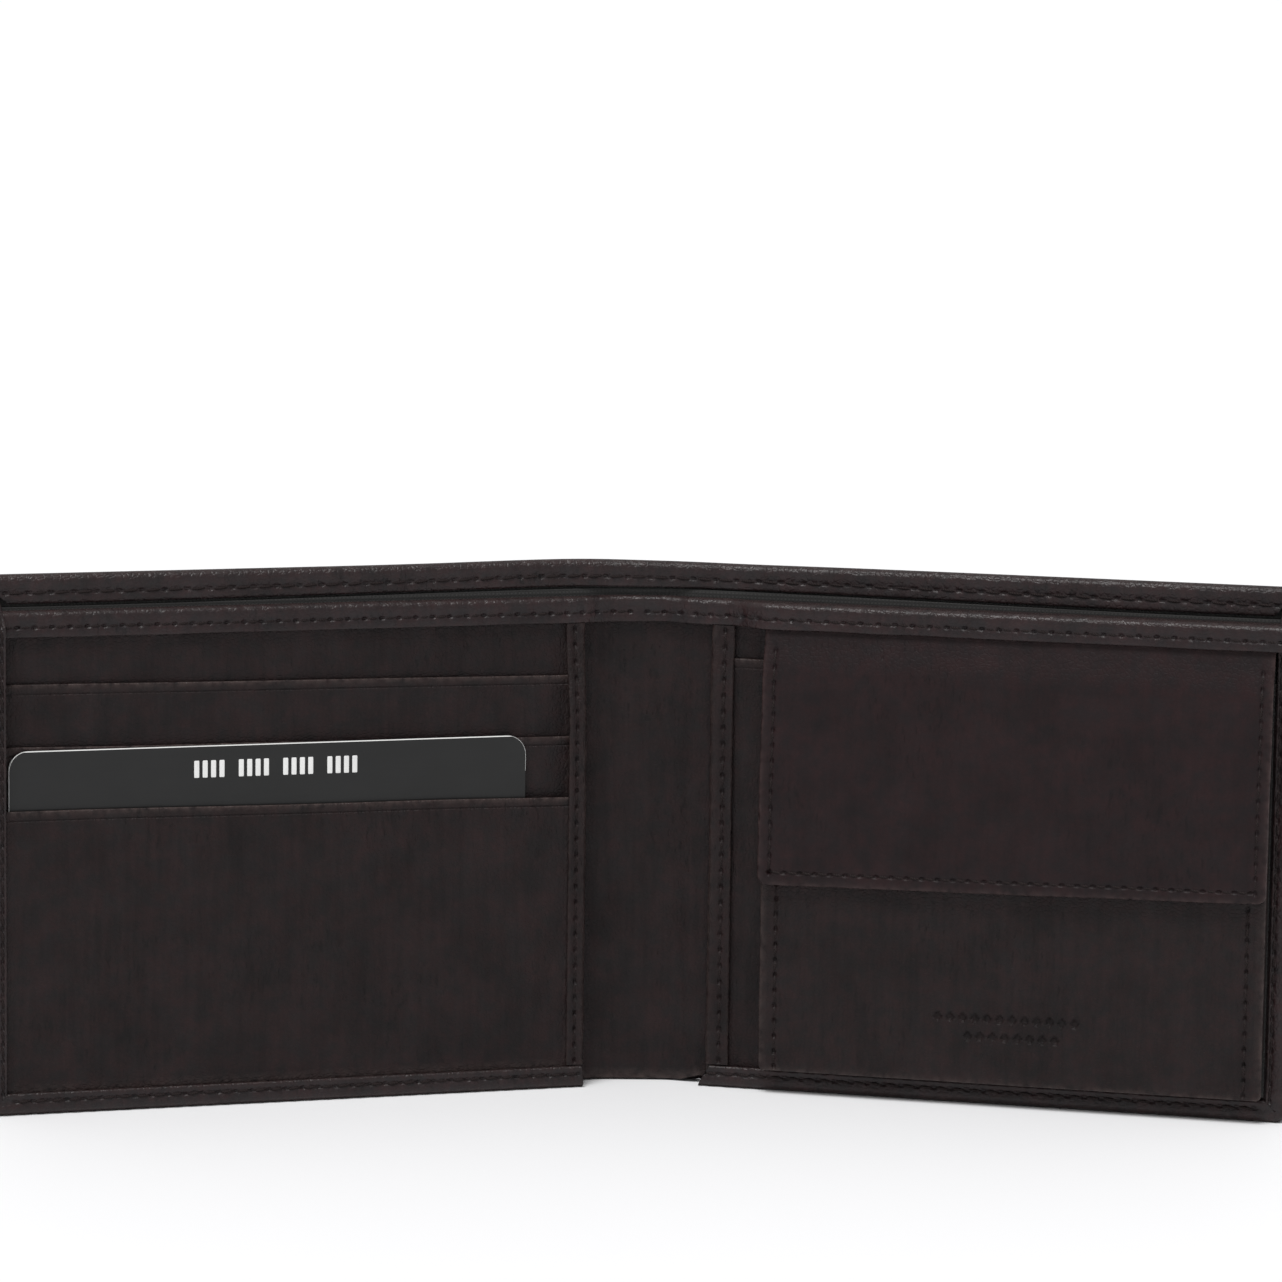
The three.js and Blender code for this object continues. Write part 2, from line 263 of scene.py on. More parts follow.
def panel(
    name, side, box, look, step, rim, seed, seams=(), relief=level, wave=level, low=level, high=level,
    sides=level, corners=(0, 0), warp=None, extra_u=(), extra_z=(), highlight_border=None, to_middle=False,
):
    """One layer of leather, fabric or card with rounded edges. box is its flat extent.

    relief(u, z) lifts its front and wave(u, z) moves the whole layer, both along w. low(u) and
    high(u) move its lower and upper edge up, and sides(z) moves both its sides outwards. corners
    are the radii of its lower and upper corners. With a border, look holds two materials and the
    second one is the border's, a pale edge along the top and the outer side only: partly the
    layer's pale core, partly a painted highlight where these edges catch the light. A layer that
    goes on to_middle has no edge of its own there.
    """
    u0, u1, w0, w1, z0, z1 = box
    arc = np.concatenate([r * (1 - np.cos(np.linspace(0, math.pi / 2, 9))) for r in corners if r] or [[]])
    seam_us = [x for seam in seams for x in seam.samples("u")]
    seam_zs = [x for seam in seams for x in seam.samples("z")]
    us = positions(u0, u1, step, rim, [*extra_u, *seam_us])
    zs = positions(z0, z1, step, rim, [*extra_z, *(z0 + arc), *(z1 - arc), *seam_zs])
    u, z = np.meshgrid(us, zs)
    edge = np.minimum(u1 - u, np.minimum(z - z0, z1 - z))
    if not to_middle:
        edge = np.minimum(edge, u - u0)
    half = (w1 - w0) / 2
    drop = half * (1 - np.sqrt(1 - (1 - np.clip(edge / rim, 0, 1)) ** 2))
    moved = wave(u, z)
    shape = sum((s.relief(u, z) for s in seams), 0 * u) + relief(u, z)
    front = w1 - drop + moved + shape * np.clip(edge / rim, 0, 1)
    back = w0 + drop + moved

    cut = 0 * z
    for radius, distance in ((corners[0], z - z0), (corners[1], z1 - z)):
        if radius:
            inside = np.clip(radius - distance, 0, radius)
            cut = cut + radius - np.sqrt(radius**2 - inside**2)
    reach = 3 * max(corners) + 2
    to_near, to_far = np.clip(1 - (u - u0) / reach, 0, 1), np.clip(1 - (u1 - u) / reach, 0, 1)
    new_u = u + to_near * (sides(z) + cut) + to_far * (sides(z) - cut)
    fall = min(EDGE_FALL, (z1 - z0) / 2)
    new_z = z + high(u) * np.clip(1 - (z1 - z) / fall, 0, 1) + low(u) * np.clip(1 - (z - z0) / fall, 0, 1)

    rows, cols = u.shape
    index = np.arange(rows * cols).reshape(rows, cols)
    behind = index.copy()
    behind[1:-1, 1:-1] = rows * cols + np.arange((rows - 2) * (cols - 2)).reshape(rows - 2, cols - 2)
    front, back = (np.stack([new_u, w, new_z], axis=-1) for w in (front, back))
    flat = np.concatenate([front.reshape(-1, 3), back[1:-1, 1:-1].reshape(-1, 3)])
    # Paler towards every edge: partly wear, partly a painted highlight.
    worn_and_highlit = np.exp(-edge / 0.45)
    wear_and_highlight = np.concatenate([worn_and_highlit.ravel(), worn_and_highlit[1:-1, 1:-1].ravel()])
    front_faces = grid_faces(index)
    faces = front_faces + [face[::-1] for face in grid_faces(behind)]
    face_looks = None
    if highlight_border:
        # Pale edge along the top and the outer side only: partly the card's pale core, partly a painted
        # highlight on the lit edges.
        highlight_reach = np.minimum(np.minimum(z1 - z, u1 - u), u - u0 + 9 * (z1 - z > corners[1]))
        face_looks = [int(highlight_reach.flat[face].min() < highlight_border) for face in front_faces]
        face_looks += [0] * len(front_faces)
    return build(name, side, flat, faces, look, seed, wear_and_highlight, warp, face_looks)


def loft(name, side, rings, look, seed, wear_and_highlight=None):
    """A closed section, as rows of (u, w, z) points, carried from ring to ring."""
    rings = np.array(rings)
    worn_and_highlit = None if wear_and_highlight is None else np.ravel(wear_and_highlight)
    piece = build(name, side, rings.reshape(-1, 3), tube_faces(*rings.shape[:2]), look, seed, worn_and_highlit)
    weld(piece)
    return piece


MERGE, SHORTEST, MIDDLE = 0.004 * MM, 0.002 * MM, 0.16 * MM  # distances at which points are one


def weld(piece, to_middle=False):
    """Merges points that fall together and turns every face outwards. A layer that goes on
    to_middle ends in a flat face at the middle of the spine, where its other half goes on."""
    work = bmesh.new()
    work.from_mesh(piece.data)
    at_middle = lambda part: to_middle and all(vertex.co.x == 0.0 for vertex in part.verts)
    if to_middle:
        for vertex in work.verts:
            if abs(vertex.co.x) < MIDDLE:
                vertex.co.x = 0.0
        bmesh.ops.delete(work, geom=[face for face in work.faces if at_middle(face)], context="FACES")
    bmesh.ops.remove_doubles(work, verts=work.verts, dist=MERGE)
    bmesh.ops.dissolve_degenerate(work, edges=work.edges, dist=SHORTEST)
    if to_middle:
        edges = [edge for edge in work.edges if edge.is_boundary and at_middle(edge)]
        bmesh.ops.holes_fill(work, edges=edges, sides=0)
    bmesh.ops.recalc_face_normals(work, faces=work.faces)
    for edge in work.edges:
        edge.smooth = not at_middle(edge)
    work.to_mesh(piece.data)
    work.free()


def join(name, *pieces):
    """Joins pieces into the first one, under a new name."""
    with bpy.context.temp_override(
        active_object=pieces[0], object=pieces[0], selected_objects=pieces, selected_editable_objects=pieces
    ):
        bpy.ops.object.join()
    pieces[0].name = pieces[0].data.name = name
    return pieces[0]


THREAD = 0.25  # radius of the sewing thread
THREAD_SIDES, THREAD_RINGS = 7, 9


def stitches(name, side, runs, surface, seed, outwards=1, warp=None):
    """One short arched thread between each two neighbouring holes of every run of (u, z) points."""
    rng = np.random.default_rng(seed + 100)
    t = np.linspace(0, 1, THREAD_RINGS)[:, None]
    turn = np.linspace(0, 2 * math.pi, THREAD_SIDES, endpoint=False)[None, :]
    bulge = np.sin(math.pi * t) ** 0.5
    flats, faces = [], []
    for run in runs:
        for a, b in zip(run[:-1], run[1:]):
            along = (b - a) / np.linalg.norm(b - a)
            left = np.array([-along[1], along[0]])
            slant, lift, fat = rng.uniform(0.05, 0.15), rng.uniform(-0.03, 0.03), rng.uniform(0.92, 1.06)
            line = a + (b - a) * (0.11 + 0.78 * t) + left * slant * (1 - 2 * t)
            radius = THREAD * fat * (0.6 + 0.4 * bulge)
            over = np.asarray(surface(line[:, 0], line[:, 1])).reshape(-1, 1)
            over = over - outwards * (0.50 - (0.42 + lift) * bulge) + outwards * radius * np.sin(turn)
            aside = radius * np.cos(turn)
            points = np.stack([line[:, :1] + left[0] * aside, over, line[:, 1:] + left[1] * aside], axis=-1)
            faces += tube_faces(THREAD_RINGS, THREAD_SIDES, len(flats) * THREAD_RINGS * THREAD_SIDES)
            flats.append(points.reshape(-1, 3))
    piece = build(name, side, np.concatenate(flats), faces, LOOKS["thread"], seed, None, warp)
    weld(piece)
    return piece


def across_middle(line, pitch, side):
    """The stitch across the middle of the spine belongs to the left half."""
    if side > 0:
        return line
    return np.concatenate([[[-HALF_SPINE - pitch / 2, line[0, 1]]], line])


# Materials

LOOKS = {}


class Nodes:
    """A short way to write a node material whose coordinates are the layer's flat place."""

    def __init__(self, name):
        self.material = bpy.data.materials.new(name)
        self.material.use_nodes = True
        self.tree = self.material.node_tree
        self.shader = self.tree.nodes["Principled BSDF"]
        LOOKS[name] = self.material

    def add(self, kind, inputs=None, **settings):
        node = self.tree.nodes.new(kind)
        for key, value in settings.items():
            setattr(node, key, value)
        for key, value in (inputs or {}).items():
            if isinstance(value, bpy.types.NodeSocket):
                self.tree.links.new(value, node.inputs[key])
            else:
                node.inputs[key].default_value = value
        return node

    def place(self, scale=(1, 1, 1)):
        flat = self.add("ShaderNodeAttribute", attribute_name="flat").outputs["Vector"]
        return self.add("ShaderNodeMapping", {"Vector": flat, "Scale": scale}).outputs["Vector"]

    def noise(self, vector, scale, detail=2.0, roughness=0.5):
        settings = {"Vector": vector, "Scale": scale, "Detail": detail, "Roughness": roughness}
        return self.add("ShaderNodeTexNoise", settings).outputs["Fac"]

    def waves(self, direction, scale, distortion):
        settings = {"Vector": self.place(), "Scale": scale, "Distortion": distortion}
        return self.add("ShaderNodeTexWave", settings, bands_direction=direction).outputs["Fac"]

    def fit(self, value, low, high, to_low=0.0, to_high=1.0):
        settings = {"Value": value, "From Min": low, "From Max": high, "To Min": to_low, "To Max": to_high}
        return self.add("ShaderNodeMapRange", settings).outputs["Result"]

    def spread(self, noise, to_low=0.0, to_high=1.0):
        """Takes the range that noise mostly keeps to, and stretches it over another one."""
        return self.fit(noise, 0.3, 0.7, to_low, to_high)

    def math(self, operation, a, b):
        return self.add("ShaderNodeMath", {0: a, 1: b}, operation=operation).outputs[0]

    def mix(self, share, a, b, **settings):
        a, b = ((*colour, 1.0) if isinstance(colour, tuple) else colour for colour in (a, b))
        return self.add("ShaderNodeMix", {0: share, 6: a, 7: b}, data_type="RGBA", **settings).outputs[2]

    def bump(self, height, distance, strength=1.0, under=None):
        settings = {"Height": height, "Distance": distance * MM, "Strength": strength}
        if under is not None:
            settings["Normal"] = under
        return self.add("ShaderNodeBump", settings).outputs["Normal"]

    def finish(self, colour=None, roughness=None, normal=None, **constants):
        for socket, value in (("Base Color", colour), ("Roughness", roughness), ("Normal", normal)):
            if value is not None:
                self.tree.links.new(value, self.shader.inputs[socket])
        for socket, value in constants.items():
            self.shader.inputs[socket.replace("_", " ")].default_value = value


def leather(name, dark, light, worn_and_highlit, grain, grain_depth, streak, roughness, shine):
    """Tanned leather: a pebbled grain, faint streaks along z, mottled colour, and paler edges, partly worn
    and partly a painted highlight where the edges catch the light.
    """
    n = Nodes(name)
    place = n.place()
    wobble = n.add("ShaderNodeTexNoise", {"Vector": place, "Scale": 0.9, "Detail": 2.0}).outputs["Color"]
    shaken = n.add("ShaderNodeMix", {0: 0.22, 4: place, 5: wobble}, data_type="VECTOR").outputs[1]
    cells = n.add("ShaderNodeTexVoronoi", {"Vector": shaken, "Scale": grain}, feature="DISTANCE_TO_EDGE")
    pebble = n.fit(cells.outputs["Distance"], 0.0, 0.22)
    fine = n.noise(place, 6.0, 3.0, 0.6)
    streaks = n.noise(n.place((0.9, 0.9, 0.07)), 1.0, 3.0, 0.6)
    mottle = n.noise(place, 0.11, 4.0, 0.62)
    blotch = n.noise(place, 0.38, 3.0, 0.6)
    creases = n.noise(n.place((0.5, 0.5, 0.2)), 1.0, 3.0, 0.55)
    strokes = n.fit(n.noise(n.place((1.5, 1.5, 0.42)), 1.0, 2.0, 0.5), 0.56, 0.72)
    strokes = n.math("MULTIPLY", strokes, n.fit(n.noise(place, 0.05, 2.0), 0.46, 0.62))

    tone = n.math("ADD", n.fit(streaks, 0.35, 0.65, -streak, streak), n.spread(mottle, 0.15, 0.85))
    tone = n.math("ADD", tone, n.fit(pebble, 0.0, 1.0, -0.12, 0.03))
    tone = n.math("SUBTRACT", tone, n.math("MULTIPLY", strokes, 0.5))
    colour = n.mix(n.fit(tone, 0.0, 1.0), dark, light)
    tint = n.mix(n.fit(blotch, 0.36, 0.64), (0.80, 0.94, 0.98), (1.22, 1.0, 1.02))
    colour = n.mix(1.0, colour, tint, blend_type="MULTIPLY")
    # Edges are painted paler: partly wear, partly a painted highlight that stands in for the light they
    # catch. Their lower roughness is the burnish of wear.
    worn_and_highlit_edge = n.add("ShaderNodeAttribute", attribute_name="wear_and_highlight").outputs["Fac"]
    rub_and_highlight = n.math("MULTIPLY", worn_and_highlit_edge, n.fit(n.noise(place, 0.8, 3.0), 0.3, 0.62))
    colour = n.mix(rub_and_highlight, colour, worn_and_highlit)

    rough = n.spread(streaks, roughness + 0.04, roughness - 0.04)
    rough = n.math("ADD", rough, n.spread(mottle, 0.05, -0.05))
    rough = n.math("ADD", rough, n.math("MULTIPLY", rub_and_highlight, -0.2))
    normal = n.bump(pebble, grain_depth)
    normal = n.bump(fine, grain_depth * 0.8, under=normal)
    normal = n.bump(creases, 0.16, under=normal)
    normal = n.bump(n.math("SUBTRACT", 1.0, strokes), 0.06, under=normal)
    n.finish(colour, rough, normal, Specular_IOR_Level=shine, IOR=1.45)


def lining_cloth():
    """Plain-woven cloth, about three threads to the millimetre."""
    n = Nodes("lining")
    weave = n.math("MULTIPLY", n.waves("X", 0.5, 0.3), n.waves("Z", 0.5, 0.3))
    slub = n.noise(n.place((0.3, 0.3, 3.0)), 1.0, 3.0, 0.6)
    tone = n.math("ADD", n.fit(weave, 0.0, 1.0, 0.15, 0.85), n.spread(slub, -0.2, 0.2))
    rough = n.spread(slub, 0.78, 0.9)
    colour = n.mix(tone, (0.013, 0.0127, 0.0123), (0.034, 0.033, 0.032))
    n.finish(colour, rough, n.bump(weave, 0.05), Sheen_Weight=0.15)


def sewing_thread():
    n = Nodes("thread")
    strands = n.waves("DIAGONAL", 1.6, 1.5)
    fuzz = n.noise(n.place(), 5.0, 2.0)
    tone = n.math("ADD", n.fit(strands, 0.0, 1.0, 0.0, 0.7), n.spread(fuzz, 0.0, 0.3))
    colour = n.mix(tone, (0.006, 0.0044, 0.0044), (0.026, 0.0175, 0.017))
    n.finish(colour, n.spread(fuzz, 0.6, 0.75), n.bump(strands, 0.05), Specular_IOR_Level=0.15)


def plastic(name, dark, light, roughness):
    n = Nodes(name)
    speckle = n.noise(n.place(), 9.0, 3.0, 0.7)
    haze = n.noise(n.place(), 0.12, 3.0)
    tone = n.math("ADD", n.spread(speckle, 0.0, 0.5), n.spread(haze, 0.0, 0.5))
    scuff = n.noise(n.place((0.15, 1, 3.5)), 1.0, 4.0, 0.7)
    rough = n.spread(scuff, roughness - 0.05, roughness + 0.07)
    n.finish(n.mix(tone, dark, light), rough, n.bump(speckle, 0.008), Specular_IOR_Level=0.35)


def steel():
    """Plated press-stud steel, on CAD nodes, which have no flat place of their own."""
    n = Nodes("snap_steel")
    place = n.add("ShaderNodeTexCoord").outputs["Object"]
    drawn = n.add("ShaderNodeMapping", {"Vector": place, "Scale": (900, 900, 9000)}).outputs["Vector"]
    scratches = n.noise(drawn, 1.0, 3.0)
    colour = n.mix(n.spread(scratches), (0.42, 0.40, 0.37), (0.62, 0.60, 0.56))
    n.finish(colour, n.spread(scratches, 0.24, 0.4), n.bump(scratches, 0.01), Metallic=1.0)


# Dark, light and worn colour, where the worn colour is also a painted highlight on the edges; then the
# grain and its depth, streaks, roughness and shine
# cover_leather and band_leather are painted lighter than inner_leather, as painted light: it stands in for
# the light from above that the hems and the top band catch.
for name, *colours_and_grain in (
    ("cover_leather", (0.0108, 0.0072, 0.0074), (0.0262, 0.0168, 0.0170), (0.040, 0.028, 0.0265),
     1.35, 0.045, 0.10, 0.37, 0.30),
    ("inner_leather", (0.0074, 0.0048, 0.0048), (0.0171, 0.0105, 0.0105), (0.056, 0.040, 0.037),
     1.8, 0.045, 0.14, 0.50, 0.22),
    ("band_leather", (0.0108, 0.0070, 0.0073), (0.0255, 0.0162, 0.0166), (0.040, 0.028, 0.027),
     1.4, 0.035, 0.10, 0.37, 0.28),
    ("flap_leather", (0.0072, 0.0036, 0.0040), (0.0168, 0.0084, 0.0090), (0.050, 0.031, 0.030),
     1.7, 0.018, 0.08, 0.49, 0.22),
):
    leather(name, *colours_and_grain)
lining_cloth()
plastic("card_plastic", (0.0070, 0.0072, 0.0072), (0.0105, 0.0107, 0.0107), 0.42)
# The card's print, also used on its pale edge, which is partly the card's core and partly a painted
# highlight.
plastic("card_print_and_highlight", (0.70, 0.70, 0.69), (0.82, 0.82, 0.81), 0.40)
sewing_thread()
steel()

# Which CAD nodes each piece hides, and the body some of them ride on


def wing(side):
    return WORD[side] + "_wing"


def stand_for(piece, slot, *nodes):
    if nodes:
        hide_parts(*nodes)


def over_fold(piece, side, slot, part=None):
    """A layer that crosses the fold, built bent round it between the spine and its wing. Its left half
    stands for the CAD's part of the spine too."""
    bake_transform(piece)
    words = [WORD[side], "spine"] if side < 0 else [WORD[side]]
    stand_for(piece, slot, *(f"{word}_{part}" for word in words if part))


def on_body(piece, body, slot, *nodes):
    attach(piece, body)
    stand_for(piece, slot, *nodes)


KIND = {"lining": "_cloth", "inner_leather": "_leather"}


def wing_sheet(node, side, box, look, rests_on, body=None, name=None, **shape):
    """A layer that moves as one with its body, in place of the CAD's node."""
    piece = panel(name or node + KIND[look], side, box, LOOKS[look], **shape)
    on_body(piece, body or wing(side), look, node)


# Cover: one skin, turned over at the top, the outer edge and the bottom

TOP_HEM_DEPTH = spine_depth("spine_cover")
TOP_HEM = 4.75
SIDE_HEM = 3.5
BOTTOM_HEM = 3.6
HEM_SKIN = 0.8
TOP_SEAM, SIDE_SEAM, BOTTOM_SEAM = 3.0, 2.8, 2.3  # in from the edge
TOP_PITCH, SIDE_PITCH, BOTTOM_PITCH = 3.7, 2.7, 2.775
RIM_STEP = 0.308333
RIM_WIDTH = 6.0  # the turned edges are modelled finely this far in
MIDDLE_ROWS = 40  # rows of points between the turned edges
TOP_CORNER, LOWER_CORNER = 2.5, 2.0
EDGE_SEED = {"top": 21, "side": 22, "bottom": 23}
HEM_START = {LEFT: 1.1, RIGHT: 3.4}
HEM_SLANT = {LEFT: 0.15, RIGHT: 0.6}
STACK_TOP = flat_box("left_top_band")[5]


def cover_wave(u, z, side):
    """Slight unevenness of the outside, with soft creases where the leather folds."""
    fade = ramp(z, RIM_WIDTH, RIM_WIDTH + 8) * (1 - ramp(z, HEIGHT - RIM_WIDTH - 8, HEIGHT - RIM_WIDTH))
    fade = fade * (1 - ramp(u, LENGTH - RIM_WIDTH - 8, LENGTH - RIM_WIDTH))
    x = side * (u + HALF_SPINE)
    wide = (0.10 * ripple(x, z, 3, 34) + 0.05 * ripple(x, z, 4, 11)) * ramp(u, -HALF_SPINE, -HALF_SPINE + 4)
    crease = 0.05 * bell(u - 0.4 * ripple(0 * z, z, 5, 30), 0.5) * (1 + ripple(0 * z, z, 6, 14))
    return (wide + crease) * fade


def narrowing(u):
    """How much narrower the top hem is, and its seam nearer the edge, towards the fold."""
    return 1 - ramp(u, 0, 85)


def top_lift(side, u):
    """The top edge isn't quite level: a little high left of the spine and low right of it."""
    x = side * (u + HALF_SPINE)
    return 0.30 * bell(x + 14, 18) - 0.14 * bell(x - 14, 18)


def hem_depth(deep, z):
    """The hem lies over the pockets, and above them steps back to the compartment's depth."""
    return deep + (TOP_HEM_DEPTH - deep) * ramp(z, STACK_TOP - 2.5, STACK_TOP + 2)


def corner(kind, depth, before, after):
    """Stations round a corner, between the (hem width, seam inset) before and after it."""
    steps = np.linspace(0, 1, 9)
    return [(kind, t, depth, *(a + (b - a) * t for a, b in zip(before, after))) for t in steps]


def rim_stations(side):
    """(kind, place along the edge, hem depth, hem width, seam inset) round the wing's edge."""
    deep = flat_box(WORD[side] + "_cover")[3]
    stations = []
    for u in np.arange(-HALF_SPINE, LENGTH - TOP_CORNER, RIM_STEP):
        near = float(narrowing(u))
        stations.append(("top", u, TOP_HEM_DEPTH, TOP_HEM - 0.45 * near, TOP_SEAM - 0.3 * near))
    stations += corner("upper_corner", TOP_HEM_DEPTH, (TOP_HEM, TOP_SEAM), (SIDE_HEM, SIDE_SEAM))
    for z in np.arange(HEIGHT - TOP_CORNER - RIM_STEP, LOWER_CORNER, -SIDE_PITCH / 9):
        stations.append(("side", z, float(hem_depth(deep, z)), SIDE_HEM, SIDE_SEAM))
    stations += corner("lower_corner", deep, (SIDE_HEM, SIDE_SEAM), (BOTTOM_HEM, BOTTOM_SEAM))
    edge = np.arange(-HALF_SPINE, LENGTH - LOWER_CORNER, RIM_STEP)
    for u in edge[edge > HEM_START[side]][::-1]:
        stations.append(("bottom", u, deep, BOTTOM_HEM, BOTTOM_SEAM))
    return stations


def rim_place(kind, t, inset):
    """(u, z) of a point inset from the wing's edge, with mitred corners."""
    if kind == "top":
        return min(t, LENGTH - max(inset, TOP_CORNER)), HEIGHT - inset
    if kind == "side":
        return LENGTH - inset, min(max(t, inset, LOWER_CORNER), HEIGHT - max(inset, TOP_CORNER))
    if kind == "bottom":
        return min(t, LENGTH - max(inset, LOWER_CORNER)), inset
    radius, angle = (TOP_CORNER, 90 * (1 - t)) if kind == "upper_corner" else (LOWER_CORNER, -90 * t)
    reach, arm = max(inset, radius), max(radius - inset, 0)
    u = LENGTH - reach + arm * math.cos(math.radians(angle))
    middle = HEIGHT - reach if kind == "upper_corner" else reach
    return u, middle + arm * math.sin(math.radians(angle))


def rim_section(depth, width, seam):
    """The turned edge's section: (inset, w, which face) from the outside round to the lining."""
    turn = rounding(min(1.25, depth / 2))
    marks = [seam + x for x in (0.8, 0.48, 0.32, 0.14, -0.14, -0.32, -0.48, -0.8)]
    outside = [(RIM_WIDTH, 0), (RIM_WIDTH - 1, 0)] + [(x, 0) for x in marks]
    over = [(b, depth - a) for a, b in turn]
    hem = [(min(x, width - 0.7 + 0.05 * i), depth) for i, x in enumerate(marks[::-1])]
    hem += [(width - 0.35, depth), (width - 0.1, depth - 0.08), (width, depth - 0.3)]
    lining = [(width, depth - 0.55), (width - 0.12, depth - 0.75), (width - 0.4, depth - HEM_SKIN)]
    lining += [(HEM_SKIN + 0.4, depth - HEM_SKIN), (HEM_SKIN, max(depth - HEM_SKIN - 0.35, SKIN + 0.35))]
    lining += [(HEM_SKIN, SKIN + 0.3), (HEM_SKIN + 0.35, SKIN), (RIM_WIDTH, SKIN)]
    parts = ((outside + turn[:-1], -1), (turn[-1:] + over[:1], 0), (over[1:] + hem, 1), (lining, 0))
    return [(inset, w, face) for points, face in parts for inset, w in points]


def rim_holes(side):
    """The holes along each edge: {kind: positions}."""
    return {
        "top": np.arange(-HALF_SPINE + TOP_PITCH / 2, LENGTH - TOP_SEAM, TOP_PITCH),
        "side": np.arange(BOTTOM_SEAM + SIDE_PITCH / 2, HEIGHT - TOP_SEAM, SIDE_PITCH),
        "bottom": np.arange(HEM_START[side] + 1.2, LENGTH - SIDE_SEAM, BOTTOM_PITCH),
    }


def rim_rings(side):
    """The turned edge, ring by ring from the top of the spine round to the end of the bottom hem."""
    holes = rim_holes(side)
    pitches = {"top": TOP_PITCH, "side": SIDE_PITCH, "bottom": BOTTOM_PITCH}
    rings, wear_and_highlight = [], []
    for kind, t, depth, width, seam in rim_stations(side):
        ring, worn_and_highlit = [], []
        gap = float(np.min(np.abs(holes[kind] - t))) if kind in holes else 9.0
        bumps = 0.05 * ripple(t, 0, EDGE_SEED[kind], 5) if kind in holes else 0
        for inset, w, face in rim_section(depth, width, seam):
            u, z = rim_place(kind, t, inset)
            if kind == "top":
                z += float(top_lift(side, u) * (1 - ramp(inset, 2, RIM_WIDTH)))
            if kind == "bottom" and w > SKIN:
                u = max(u, HEM_START[side] + HEM_SLANT[side] * inset)
            if face:
                off = inset - seam
                swell = math.sin(math.pi * gap / pitches[kind]) ** 2 if kind in holes else 0.5
                puff = (0.17 * swell + bumps) * bell(off + 1.3, 0.8) + 0.08 * swell * bell(off - 0.75, 0.3)
                w += face * float(puff - 0.12 * bell(off, 0.6) - 0.42 * pit(gap, off))
            ring.append((u, w, z))
            # Paler at the outer edge and at the hem's edge: partly wear, partly a painted highlight.
            at_hem = 0.5 * math.exp(-abs(inset - width) / 0.25) * (w > SKIN)
            worn_and_highlit.append(0.8 * math.exp(-abs(inset) / 0.5) + at_hem)
        rings.append(ring)
        wear_and_highlight.append(worn_and_highlit)
    return np.array(rings), np.array(wear_and_highlight)


def zipper(a, a_at, b, b_at):
    """Triangles between two rows of points whose spacing differs."""
    faces, i, j = [], 0, 0
    while i < len(a) - 1 or j < len(b) - 1:
        if j == len(b) - 1 or (i < len(a) - 1 and a_at[i + 1] <= b_at[j + 1]):
            faces.append([int(a[i]), int(a[i + 1]), int(b[j])])
            i += 1
        else:
            faces.append([int(a[i]), int(b[j + 1]), int(b[j])])
            j += 1
    return faces


def cover(side):
    all_points, all_wear_and_highlight = [], []

    def add(points, wear_and_highlight):  # gives back the points' numbers
        first = sum(len(rows) for rows in all_points)
        all_points.append(points.reshape(-1, 3))
        all_wear_and_highlight.append(np.broadcast_to(wear_and_highlight, points.shape[:-1]).ravel())
        return first + np.arange(points.size // 3).reshape(points.shape[:-1])

    rings, wear_and_highlight = rim_rings(side)
    edge = add(rings, wear_and_highlight)
    faces = grid_faces(edge)

    # the hem's cut end, and the plain lower edge beyond it
    half_turn = np.linspace(0, math.pi, 5)
    section = rim_section(3.0, BOTTOM_HEM, BOTTOM_SEAM)
    outside = [i for i, point in enumerate(section) if point[2] < 0]
    kept = outside + [len(section) - 2, len(section) - 1]
    faces.append(edge[-1, outside[-1] : len(section) - 1].tolist())
    plain = [section[i][:2] for i in outside[:-5]]
    plain += [(SKIN / 2 * (1 - math.sin(a)), SKIN / 2 * (1 - math.cos(a))) for a in half_turn]
    plain = np.array(plain + [section[i][:2] for i in kept[-2:]])
    hemmed = rings[-1][kept][:, [2, 1]]
    us = np.arange(-HALF_SPINE, LENGTH - LOWER_CORNER, RIM_STEP)
    lower = []
    for step, u in enumerate(us[us <= HEM_START[side]][::-1], 1):
        shape = hemmed + (plain - hemmed) * min(1, step / 4)
        lower.append(np.column_stack([np.full(len(shape), u), shape[:, 1], shape[:, 0]]))
    # The plain lower edge is painted paler too: partly wear, partly a painted highlight.
    lower = add(np.array(lower), np.exp(-plain[:, 0] / 0.5))
    faces += grid_faces(np.concatenate([edge[-1:, kept], lower]))

    # both faces of the middle, with few rows, zipped to the fine outer edge
    us = us[us < LENGTH - RIM_WIDTH - 0.2]
    zs = np.linspace(RIM_WIDTH, HEIGHT - RIM_WIDTH, MIDDLE_ROWS)
    u, z = np.meshgrid(us, zs)
    fine = [rim_place("side", t, RIM_WIDTH)[1] for kind, t, *_ in rim_stations(side) if kind == "side"]
    fine = np.unique(np.concatenate([[RIM_WIDTH], np.round(fine, 6), [HEIGHT - RIM_WIDTH]]))
    for w in (0.0, SKIN):
        middle = add(np.stack([u, w + cover_wave(u, z, side), z], axis=-1), 0.0)
        last = add(np.stack([0 * fine + LENGTH - RIM_WIDTH, 0 * fine + w, fine], axis=-1), 0.0)
        faces += grid_faces(middle) + zipper(middle[:, -1], zs, last, fine)
    points, wear_and_highlight = np.concatenate(all_points), np.concatenate(all_wear_and_highlight)
    piece = build(WORD[side] + "_cover_leather", side, points, faces, LOOKS["cover_leather"], 1, wear_and_highlight)
    weld(piece, to_middle=True)
    return piece


